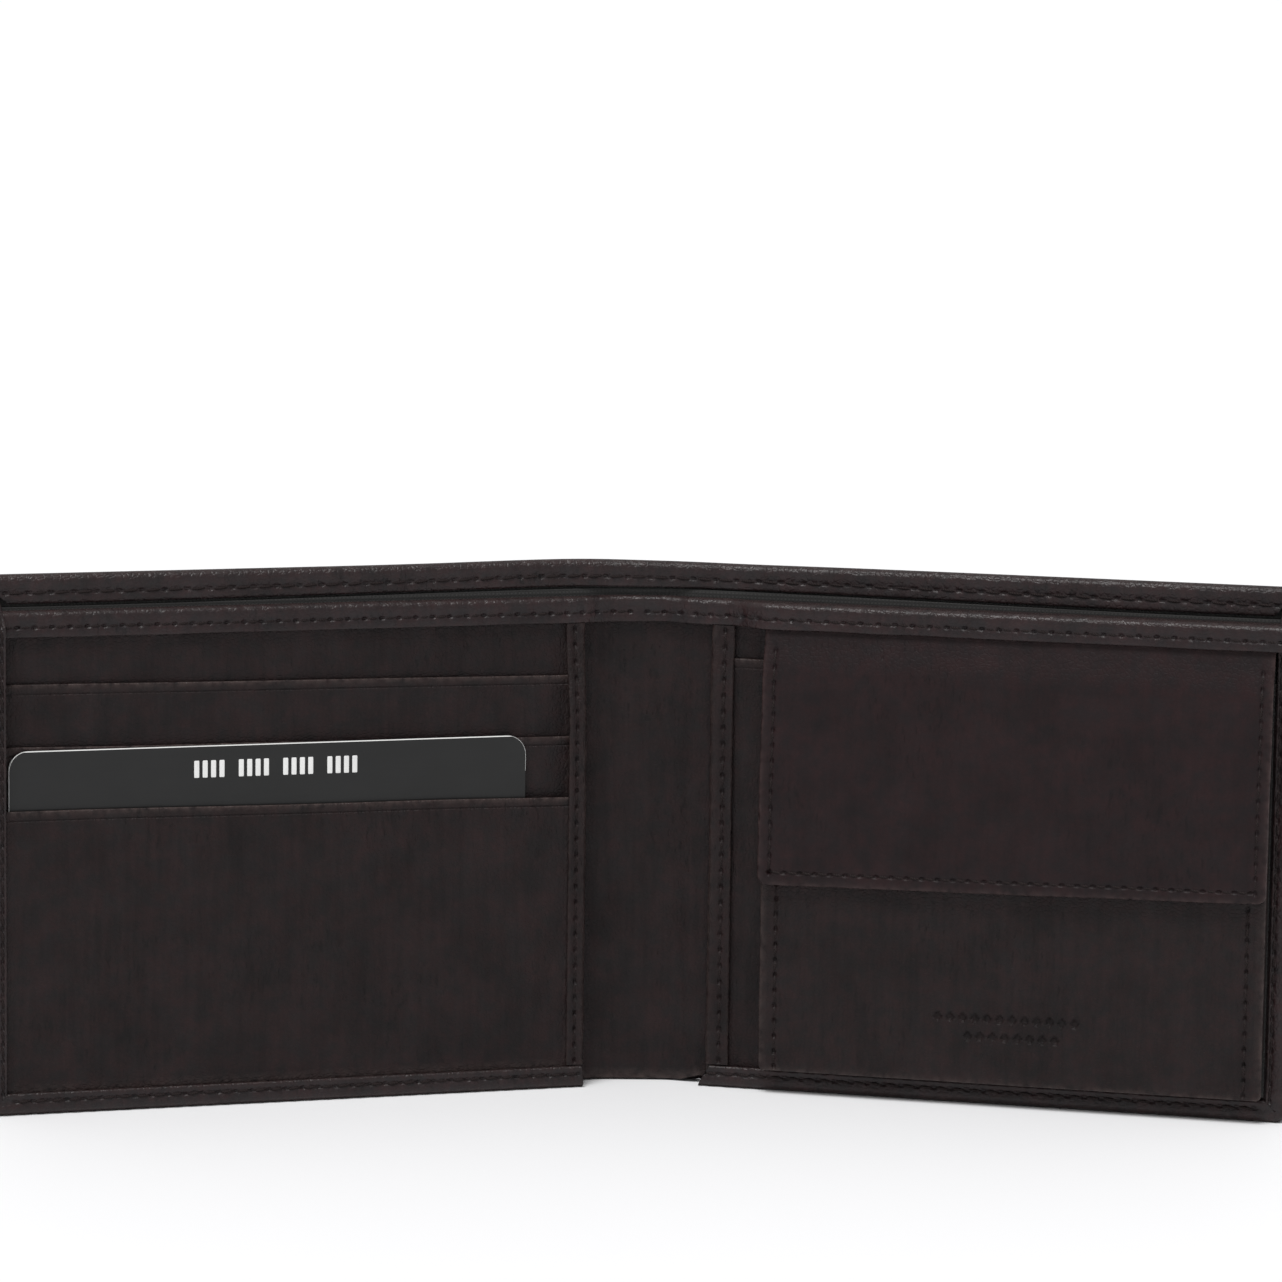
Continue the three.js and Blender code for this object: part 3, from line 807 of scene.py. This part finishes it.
def add_covers():
    for side in (LEFT, RIGHT):
        word = WORD[side]
        piece = cover(side)
        over_fold(piece, side, "cover_leather", "cover")
        deep = flat_box(word + "_cover")[3]
        holes = rim_holes(side)
        line = HEIGHT - TOP_SEAM + 0.3 * narrowing(holes["top"]) + top_lift(side, holes["top"])
        top = np.stack([holes["top"], line], axis=1)
        edge = np.stack([0 * holes["side"] + LENGTH - SIDE_SEAM, holes["side"]], axis=1)
        base = np.stack([holes["bottom"], 0 * holes["bottom"] + BOTTOM_SEAM], axis=1)
        runs = [across_middle(top, TOP_PITCH, side), edge, base]
        inner = stitches(word + "_hem_stitches", side, runs, lambda u, z: hem_depth(deep, z), 11)
        outer = stitches(word + "_back_stitches", side, runs, level, 12, outwards=-1)
        over_fold(inner, side, "cover_leather")
        over_fold(outer, side, "cover_leather")


# Layers that cross the spine behind the pockets

SPINE_SETTLE = {"note_lining": 0.17, "note_divider": 0.62, "inner_wall": 1.05}
BAND_SETTLE = 0.7
DIVIDER_DROP, DIVIDER_RISE = 0.55, 0.70  # its upper edge falls away from the hem, less so at the spine


def settle(u, amount):
    """On the spine the layers lie closer to the cover than on the wings."""
    return -amount * (1 - ramp(u, -3.0, 2.5))


def crossing_layer(side, part, look, seed):
    word = WORD[side]
    box = flat_box(f"{word}_{part}")
    box[0] = -HALF_SPINE
    spine_base = flat_box("spine_" + part)[4]
    lower = lambda u: (spine_base - box[4]) * (1 - ramp(u, 0.8, 2.0))
    upper = (lambda u: DIVIDER_RISE * narrowing(u) - DIVIDER_DROP) if part == "note_divider" else level
    amount = SPINE_SETTLE[part]

    def bow(u, z):
        return settle(u, amount) + 0.06 * ripple(side * (u + HALF_SPINE), z, seed, 26) * ramp(u, -8, -2)

    piece = panel(
        f"{word}_{part}{KIND[look]}", side, box, LOOKS[look], 1.6, 0.14, seed,
        wave=bow, low=lower, high=upper, to_middle=True,
    )
    weld(piece, to_middle=True)
    over_fold(piece, side, look, part)


def add_note_compartment():
    for side in (LEFT, RIGHT):
        crossing_layer(side, "note_lining", "lining", 5)
        crossing_layer(side, "note_divider", "lining", 6)
        crossing_layer(side, "inner_wall", "inner_leather", 7)


# Top band

BAND_SEAM = 2.65
BAND_PITCH = 2.85
BAND_SKIN = 0.8
RIGHT_BAND_LIFT = 2.6  # the right band lies over the root of the coin flap


def band_depth(side, u):
    """Depth of the band's face: low on the spine, up over the layers of the wing."""
    spine_front, wing_front = spine_depth("spine_top_band"), flat_box("left_top_band")[3]
    face = spine_front - BAND_SETTLE + (wing_front - spine_front + BAND_SETTLE) * ramp(u, -5.5, 3.5)
    if side > 0:
        face = face + RIGHT_BAND_LIFT * ramp(u, 7.5, 14.5)
    return face


def top_band(side):
    word = WORD[side]
    _, end, _, _, base, top = flat_box(word + "_top_band")
    seam = Seam("u", top - BAND_SEAM, -HALF_SPINE + BAND_PITCH / 2, end, BAND_PITCH, pucker=0.16)
    wall = flat_box("left_inner_wall")[2] + 0.1
    rings, wear_and_highlight = [], []
    for u in positions(-HALF_SPINE, end, 1.2, 0.3, seam.samples("u")):
        x = side * (u + HALF_SPINE)
        face = float(band_depth(side, u))
        back = wall + float(settle(u, SPINE_SETTLE["inner_wall"]))
        edge = 0.10 * float(ripple(x, 0.0, 31, 17))
        roll = min(1.3, 0.6 * (face - back))
        front = [base + edge + 0.12, base + edge + 0.3, base + 0.9]
        front += [z for z in seam.across() if z > base + 1.1] + [top - roll - 0.05]
        points = [(face - 0.45, base + edge), (face - 0.12, base + edge + 0.03)]
        points += [(face + float(seam.relief(u, z)), z) for z in sorted(front)]
        points += [(face - b, top - a) for a, b in rounding(roll, 8)]
        points += [((face - roll + back) / 2, top - 0.02), (back + 0.3, top - 0.1), (back, top - 0.4)]
        points += [(back, top - 0.75), (back + 0.4, top - 0.75), (face - roll, top - 0.85)]
        points += [(face - BAND_SKIN - 0.05, top - 1.5), (face - BAND_SKIN, base + edge + 0.15)]
        swell = 0.14 * math.sin(math.pi * (u - seam.holes[0]) / BAND_PITCH) ** 2
        puff = 0.08 * float(bell(u + 0.3, 2.2)) + 0.05 * float(ripple(x, 0.0, 33, 6))
        ws, zs = np.array(points).T
        ws = ws + (ws > face - 0.6) * (puff + swell * ramp(zs, top - 1.7, top - 0.8))
        rings.append(np.column_stack([0 * ws + u, ws, zs]))
        # Paler along the band's top and lower edge: partly wear, partly a painted highlight.
        wear_and_highlight.append(0.75 * np.exp(-abs(zs - top) / 0.7) + 0.5 * np.exp(-abs(zs - base) / 0.2))
    piece = loft(word + "_top_band_leather", side, rings, LOOKS["band_leather"], 8, wear_and_highlight)
    weld(piece, to_middle=True)
    over_fold(piece, side, "inner_leather", "top_band")
    line = across_middle(seam.points(), BAND_PITCH, side)
    surface = lambda u, z: band_depth(side, u) - SINK
    over_fold(stitches(word + "_band_stitches", side, [line], surface, 13), side, "inner_leather")


# Binding strips along the free inner edges of the wings

STRIP_PITCH = 2.65
STRIP_SKIN = 0.55


def edge_strip(side, start, depth, fall, seam_u, seed):
    """Leather turned round the wing's inner layers at their free edge, and stitched down."""
    word = WORD[side]
    _, u1, _, _, z0, _ = flat_box(word + "_edge_strip")
    low, high = depth
    z1 = flat_box(word + "_top_band")[4] - 0.05

    def face_at(z):  # the strip thins towards its upper end, where it runs in under the band
        return high - fall[0] * ramp(z, fall[1], z1)

    seam = Seam("z", seam_u, z0 + 0.8, z1 - 0.6, STRIP_PITCH)
    skin = STRIP_SKIN
    rings, wear_and_highlight = [], []
    for z in positions(z0, z1, 1.2, 0.3, seam.samples("z")):
        face = float(face_at(z))
        shift = 0.12 * float(ripple(0.0, z, seed, 30)) + 0.05 * float(ripple(0.0, z, seed + 1, 7))
        edge = start + shift
        r = min(0.9, (face - low) / 2)
        turn = rounding(r)
        stitched = [u for u in seam.across()[::-1] if edge + r + 0.1 < u < u1 - 0.4]
        over = [(u1 - 0.06, face - 0.3), (u1 - 0.1, face - 0.12), (u1 - 0.3, face)]
        over += [(u, face + float(seam.relief(u, z))) for u in stitched]
        over += [(edge + a, face - b) for a, b in turn] + [(edge + b, low + a) for a, b in turn]
        inner = [(edge + 2.2, low), (edge + 2.3, low + 0.2), (edge + 2.2, low + 0.4)]
        inner += [(edge + skin + 0.4, low + skin), (edge + skin, low + skin + 0.4)]
        inner += [(edge + skin, face - skin - 0.4), (edge + skin + 0.4, face - skin)]
        us, ws = np.array(over + inner + [(u1 - 0.1, face - skin)]).T
        rings.append(np.column_stack([us, ws, 0 * us + z]))
        # Paler along the free edge and the cut edge: partly wear, partly a painted highlight.
        wear_and_highlight.append(0.8 * np.exp(-abs(us - edge) / 0.5) + 0.6 * np.exp(-abs(us - u1) / 0.2))
    piece = loft(word + "_edge_strip_leather", side, rings, LOOKS["inner_leather"], seed, wear_and_highlight)
    on_body(piece, wing(side), "inner_leather", word + "_edge_strip")
    surface = lambda u, z: face_at(z) - SINK
    thread = stitches(word + "_strip_stitches", side, [seam.points()], surface, 14)
    on_body(thread, wing(side), "inner_leather")


# Left wing: backing, card pockets and the card

# How far each slot's edge rises outwards, where it starts, and how far it and its middle bulge
SLOTS = {
    "card_pocket_upper": (1.1, -0.5, 0.28, 0.0),
    "card_pocket_middle": (1.2, -0.6, 0.28, 0.0),
    "card_pocket_lower": (0.9, -0.4, 0.0, 0.10),
}
HOT_CREASE = 1.5


def slot_relief(top, seed):
    """A turned upper edge, with the hot crease pressed along it."""

    def relief(u, z):
        below = top - z
        turned = 0.025 * (1 - ramp(below, HOT_CREASE - 0.3, HOT_CREASE + 0.2))
        line = 0.05 * bell(below - HOT_CREASE - 0.32, 0.2) - 0.15 * bell(below - HOT_CREASE, 0.12)
        return turned + line + 0.035 * ripple(u, z, seed, 9)

    return relief


def pocket(name, seed):
    box = flat_box(name)
    box[0] = flat_box("left_edge_strip")[1] - 1.6
    top = box[5]
    tilt, start, gape, lift = SLOTS[name]
    upper = lambda u: start + tilt * (u - box[0]) / (box[1] - box[0]) + 0.12 * ripple(u, 0 * u, seed, 40)
    sag = lambda u: ramp(u, box[0], box[0] + 22) * (1 - ramp(u, box[1] - 22, box[1]))

    def wave(u, z):
        bulge = lift * bell(z - 30, 22)
        return 0.05 * ripple(u, z, seed, 30) + bulge + gape * (0.35 + 0.65 * sag(u)) * ramp(z, top - 6, top)

    wing_sheet(
        name, LEFT, box, "inner_leather", "left_backing_leather", step=2.0, rim=0.22, seed=seed,
        wave=wave, high=upper, relief=slot_relief(top, seed),
        extra_z=[top - HOT_CREASE + x for x in (-0.7, -0.35, -0.16, -0.08, 0, 0.08, 0.16, 0.35, 0.7)],
    )


def backing(side, seed):
    word = WORD[side]
    box = flat_box(word + "_backing")
    box[0] = flat_box(word + "_edge_strip")[0] + 0.8
    wing_sheet(
        word + "_backing", side, box, "inner_leather", word + "_inner_wall_leather",
        step=2.0, rim=0.2, seed=seed, wave=lambda u, z: 0.05 * ripple(u, z, seed, 25),
    )


CARD_CORNER = 3.18
MARKS_LOW, MARKS_HIGH = 40.2, 67.2
MARK_BASE, MARK_TOP = 53.8, 56.6
MARK_GROUPS, MARKS_IN_GROUP = 4, 4
MARK_WIDTH, MARK_GROUP_WIDTH = 0.85, 5.0


def add_card():
    box = flat_box("card")
    # Its pale edge along the top and outer side is partly the card's core and partly a painted highlight.
    piece = panel(
        "card_plastic_body", LEFT, box, [LOOKS["card_plastic"], LOOKS["card_print_and_highlight"]], 4.0, 0.12, 2,
        corners=(CARD_CORNER, CARD_CORNER), highlight_border=0.1,
        extra_u=[box[0] + 0.25, box[1] - 0.25], extra_z=[box[4] + 0.25, box[5] - 0.25],
    )
    on_body(piece, "card", "card_plastic", "card")
    apart = (MARKS_HIGH - MARKS_LOW - MARK_GROUP_WIDTH) / (MARK_GROUPS - 1)
    step = (MARK_GROUP_WIDTH - MARK_WIDTH) / (MARKS_IN_GROUP - 1)
    bars = []
    for group in range(MARK_GROUPS):
        for place in range(MARKS_IN_GROUP):
            low = MARKS_LOW + group * apart + place * step
            bar = [low, low + MARK_WIDTH, box[3] + 0.005, box[3] + 0.05, MARK_BASE, MARK_TOP]
            bars.append(panel("bar", LEFT, bar, LOOKS["card_print_and_highlight"], 1.0, 0.05, 2, corners=(0.3, 0.3)))
    on_body(join("card_marks", *bars), "card", "card_plastic")


def add_left_wing():
    backing(LEFT, 41)
    for seed, name in enumerate(SLOTS, 42):
        pocket(name, seed)
    edge_strip(LEFT, HEM_START[LEFT], depth=(3.6, 7.75), fall=(2.75, 60), seam_u=3.1, seed=51)
    add_card()


# Right wing: slip pocket, coin pouch and flap

POUCH_PITCH = 2.55
STAMP_ROWS = ((14.9, 43.4, 68.8), (11.9, 48.4, 65.0))  # height and extent of the blind-stamped rows
STAMP_PITCH, STAMP_HALF, STAMP_TALL = 2.05, 0.84, 0.95
FLAP_SEAM, FLAP_SEAM_TOP = 2.0, 74.5
POUCH_LEAN = 1.4  # the pouch is fuller at its base than at its mouth
LEAN_FROM, LEAN_TO = 45, 70
FLAP_SPRING = 0.35  # how far its free edge stands forward
FLAP_TUCK, UNDER_BAND = 0.55, 0.85  # how far its root is up under the band, and behind its face
FLAP_SHOULDER = 8.6  # height over which the flap comes out from under the band


def lean(z):
    return -POUCH_LEAN * ramp(z, LEAN_FROM, LEAN_TO)


def slip_pocket():
    box = flat_box("slip_pocket")
    wing_sheet(
        "slip_pocket", RIGHT, box, "inner_leather", "right_backing_leather",
        step=2.0, rim=0.3, seed=61, relief=slot_relief(box[5], 61),
        extra_z=[box[5] - HOT_CREASE + x for x in (-0.7, -0.35, -0.16, 0, 0.16, 0.35, 0.7)],
    )


def stamp_relief(u, z):
    """Two rows of small lozenges pressed into the leather, each with a raised rim."""
    total = 0 * u
    for height, start, end in STAMP_ROWS:
        count = int((end - start) / STAMP_PITCH)
        nearest = np.clip(np.round((u - start) / STAMP_PITCH - 0.5), 0, count - 1)
        off = u - (start + (nearest + 0.5) * STAMP_PITCH)
        size = np.abs(off) / STAMP_HALF + np.abs(z - height) / STAMP_TALL
        total = total - 0.38 * (1 - ramp(size, 0.75, 1.05)) + 0.08 * bell(size - 1.25, 0.2)
    return total


def pouch_front():
    box = flat_box("pouch_front")
    u0, u1, _, w1, z0, z1 = box
    seams = [Seam("z", u, z0 + 0.8, z1 - 1.2, POUCH_PITCH) for u in (u0 + 2.6, u1 - 2.9)]
    fine_u = np.arange(STAMP_ROWS[0][1] - 0.8, STAMP_ROWS[0][2] + 0.8, 0.32)
    fine_z = np.arange(STAMP_ROWS[1][0] - 1.4, STAMP_ROWS[0][0] + 1.4, 0.3)
    crease = slot_relief(z1, 62)
    sides = lambda z: 0.10 * ripple(0 * z, z, 63, 26)
    wave = lambda u, z: 0.06 * ripple(u, z, 64, 28) + lean(z)
    wing_sheet(
        "pouch_front", RIGHT, box, "inner_leather", "pouch_lining_cloth", step=2.0, rim=0.35, seed=62,
        seams=seams, relief=lambda u, z: crease(u, z) + stamp_relief(u, z), sides=sides, wave=wave,
        corners=(1.0, 0), extra_u=fine_u, extra_z=fine_z,
    )
    line = [seam.points() for seam in seams]
    thread = stitches("pouch_stitches", RIGHT, line, lambda u, z: w1 - SINK + wave(u, z), 15)
    on_body(thread, "right_wing", "inner_leather")


def gusset(place, seed):
    """A soft pleat between the pouch's back and front, folded towards the inside of the pouch."""
    name = "pouch_gusset_" + place
    u0, u1, w0, w1, z0, z1 = flat_box(name)
    upright = place != "bottom"
    reach = (u1 - u0 if upright else z1 - z0) - 0.3
    middle, half, thick = (w0 + w1) / 2, (w1 - w0) / 2, 0.32
    t = np.linspace(-1, 1, 25)
    tip = np.sqrt(np.clip(1 - (np.abs(t) * 0.999) ** 2.0, 0, 1)) ** 1.2
    across = np.concatenate([reach * tip, np.maximum((reach - thick) * tip[::-1], 0.02)])
    deep = np.concatenate([middle + t * (half - 0.05), middle + t[::-1] * (half - 0.05 - thick)])
    rings = []
    for run in np.linspace(z0, z1, 30) if upright else np.linspace(u0, u1, 34):
        ease = 0.25 * float(ripple(run, 0.0, seed, 14))
        a = across * (1 + 0.1 * ease)
        w = w0 + (deep - w0) * (1 + float(lean(run)) / (w1 - w0) if upright else 1.0)
        along = 0 * a + run
        sides = {"inner": (u0 + a, w, along), "outer": (u1 - a, w, along), "bottom": (along, w, z0 + a)}
        rings.append(np.column_stack(sides[place]))
    piece = loft(name + "_leather", RIGHT, rings, LOOKS["inner_leather"], seed)
    on_body(piece, "right_wing", "inner_leather", name)


def coin_flap():
    u0, u1, w0, w1, z0, _ = flat_box("flap")
    root = flat_box("right_top_band")[4] + FLAP_TUCK
    root_w = float(band_depth(RIGHT, LENGTH / 2)) - UNDER_BAND - (w1 - w0) / 2
    flap_w = (w0 + w1) / 2 - POUCH_LEAN

    def warp(flat):  # the leather comes out from under the band to the flap's depth
        placed = flat.copy()
        rise = np.clip((placed[:, 2] - (root - FLAP_SHOULDER)) / FLAP_SHOULDER, 0, 1)
        placed[:, 1] += (root_w - flap_w) * (0.65 * rise**1.25 + 0.35 * smooth(rise))
        return placed

    def wave(u, z):
        uneven = (0.22 * ripple(u, z, 71, 42) + 0.05 * ripple(u, z, 72, 12)) * (1 - ramp(z, 62, 70))
        return uneven + lean(z) + FLAP_SPRING * (1 - ramp(z, z0, z0 + 10))

    inner, outer, low = u0 + FLAP_SEAM, u1 - FLAP_SEAM + 0.2, z0 + FLAP_SEAM
    lines = (("z", inner, low, FLAP_SEAM_TOP), ("z", outer, low, FLAP_SEAM_TOP), ("u", low, inner, outer))
    seams = [Seam(*line, POUCH_PITCH, hole=0.3) for line in lines]
    sides = lambda z: 0.16 * ripple(0 * z, z, 73, 30)
    slope = lambda u: -0.75 + 1.4 * (u - u0) / (u1 - u0) + 0.14 * ripple(u, 0 * u, 74, 38)
    piece = panel(
        "coin_flap_leather", RIGHT, [u0, u1, w0, w1, z0, root], LOOKS["flap_leather"], 2.2, 0.42, 71,
        seams=seams, wave=wave, relief=lambda u, z: 0.03 * ripple(u, z, 75, 8), sides=sides,
        low=slope, corners=(1.6, 0), warp=warp, extra_z=np.arange(root - FLAP_SHOULDER - 1, root, 0.8),
    )

    runs = [seam.points() for seam in seams]
    for line in runs:
        line[:, 1] += slope(line[:, 0]) * np.clip(1 - (line[:, 1] - z0) / EDGE_FALL, 0, 1)
    front, back = lambda u, z: w1 - SINK + wave(u, z), lambda u, z: w0 + SINK + wave(u, z)
    thread = stitches("flap_stitches", RIGHT, runs, front, 16, warp=warp)
    under = stitches("flap_back_stitches", RIGHT, runs, back, 17, outwards=-1, warp=warp)

    for bending, nodes in ((piece, ("flap", "flap_root")), (thread, ()), (under, ())):
        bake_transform(bending)
        stand_for(bending, "flap_leather", *nodes)

    box = flat_box("flap_lining")[:5] + [root - FLAP_SHOULDER + 0.6]
    wing_sheet(
        "flap_lining", RIGHT, box, "lining", "coin_flap_leather", "coin_flap",
        step=2.0, rim=0.14, seed=76, wave=wave,
    )


def pouch_cloth(node, name, seed, lower_top=0.0, leaning=0.0):
    box = flat_box(node)
    box[5] -= lower_top
    wing_sheet(
        node, RIGHT, box, "lining", "right_backing_leather", name=name, step=2.2, rim=0.14, seed=seed,
        wave=lambda u, z: 0.04 * ripple(u, z, seed, 22) + leaning * lean(z),
    )


def add_right_wing():
    backing(RIGHT, 60)
    slip_pocket()
    start = flat_box("right_edge_strip")[0] - 0.1
    edge_strip(RIGHT, start, depth=(3.6, 5.75), fall=(0.75, 66), seam_u=7.1, seed=53)
    pouch_cloth("pouch_back", "pouch_back_cloth", 65, 0.8)
    pouch_cloth("pouch_front_lining", "pouch_lining_cloth", 66, leaning=1.0)
    for seed, place in enumerate(("inner", "outer", "bottom"), 67):
        gusset(place, seed)
    pouch_front()
    coin_flap()
    for node in ("snap_stud", "snap_socket", "snap_cap"):
        frame["nodes"][node].data.materials.clear()
        frame["nodes"][node].data.materials.append(LOOKS["snap_steel"])


# Studio

CAMERA_PLACE = Vector((-0.0224, -0.9257, 0.2069))
CAMERA_PITCH, CAMERA_YAW, CAMERA_ROLL = 8.05, 1.39, 0.73  # degrees: down, to the right, clockwise
CAMERA_LENS = 162.2


def add_camera():
    camera = bpy.data.objects.new("camera", bpy.data.cameras.new("camera"))
    pitch, yaw, roll = (math.radians(x) for x in (CAMERA_PITCH, CAMERA_YAW, CAMERA_ROLL))
    ahead = Vector((math.sin(yaw) * math.cos(pitch), math.cos(yaw) * math.cos(pitch), -math.sin(pitch)))
    right = ahead.cross(Vector((0, 0, 1))).normalized()
    up = right.cross(ahead)
    right, up = right * math.cos(roll) + up * math.sin(roll), up * math.cos(roll) - right * math.sin(roll)
    turned = Matrix((right, up, -ahead)).transposed().to_4x4()
    camera.matrix_world = Matrix.Translation(CAMERA_PLACE) @ turned
    camera.data.lens, camera.data.sensor_width = CAMERA_LENS, 36.0
    camera.data.clip_start, camera.data.clip_end = 0.05, 100.0
    bpy.context.scene.collection.objects.link(camera)
    bpy.context.scene.camera = camera


LIGHT_STRENGTH, LIGHT_WIDTH = 2.35, 24  # one broad light from above
LIGHT_FORWARD, LIGHT_LEFT = 22, 10  # its tilt in degrees
SKY_STRENGTH = 0.55


def add_studio():
    n = Nodes("studio_floor")
    place = n.add("ShaderNodeTexCoord").outputs["Object"]
    tone = n.noise(place, 3.0, 2.0)
    colour = n.mix(tone, (0.895, 0.895, 0.905), (0.90, 0.90, 0.91))
    n.finish(colour, n.spread(tone, 0.55, 0.65))
    r = 12.0
    mesh = bpy.data.meshes.new("floor")
    mesh.from_pydata([(-r, -r, 0), (r, -r, 0), (r, r, 0), (-r, r, 0)], [], [(0, 1, 2, 3)])
    mesh.materials.append(n.material)
    floor = bpy.data.objects.new("floor", mesh)
    bpy.context.scene.collection.objects.link(floor)

    world = bpy.data.worlds.new("studio")
    bpy.context.scene.world = world
    world.use_nodes = True
    sky = world.node_tree.nodes["Background"].inputs
    sky["Color"].default_value = (1.0, 1.0, 1.0, 1.0)
    sky["Strength"].default_value = SKY_STRENGTH
    light = bpy.data.lights.new("overhead", "SUN")
    light.energy, light.angle = LIGHT_STRENGTH, math.radians(LIGHT_WIDTH)
    lamp = bpy.data.objects.new("overhead", light)
    lamp.rotation_euler = (math.radians(LIGHT_FORWARD), math.radians(-LIGHT_LEFT), 0)
    lamp.location = (0, 0, 1)
    bpy.context.scene.collection.objects.link(lamp)
    bpy.context.scene.view_settings.view_transform = "Standard"


add_camera()
add_covers()
add_note_compartment()
for wing_side in (LEFT, RIGHT):
    top_band(wing_side)
add_left_wing()
add_right_wing()
add_studio()
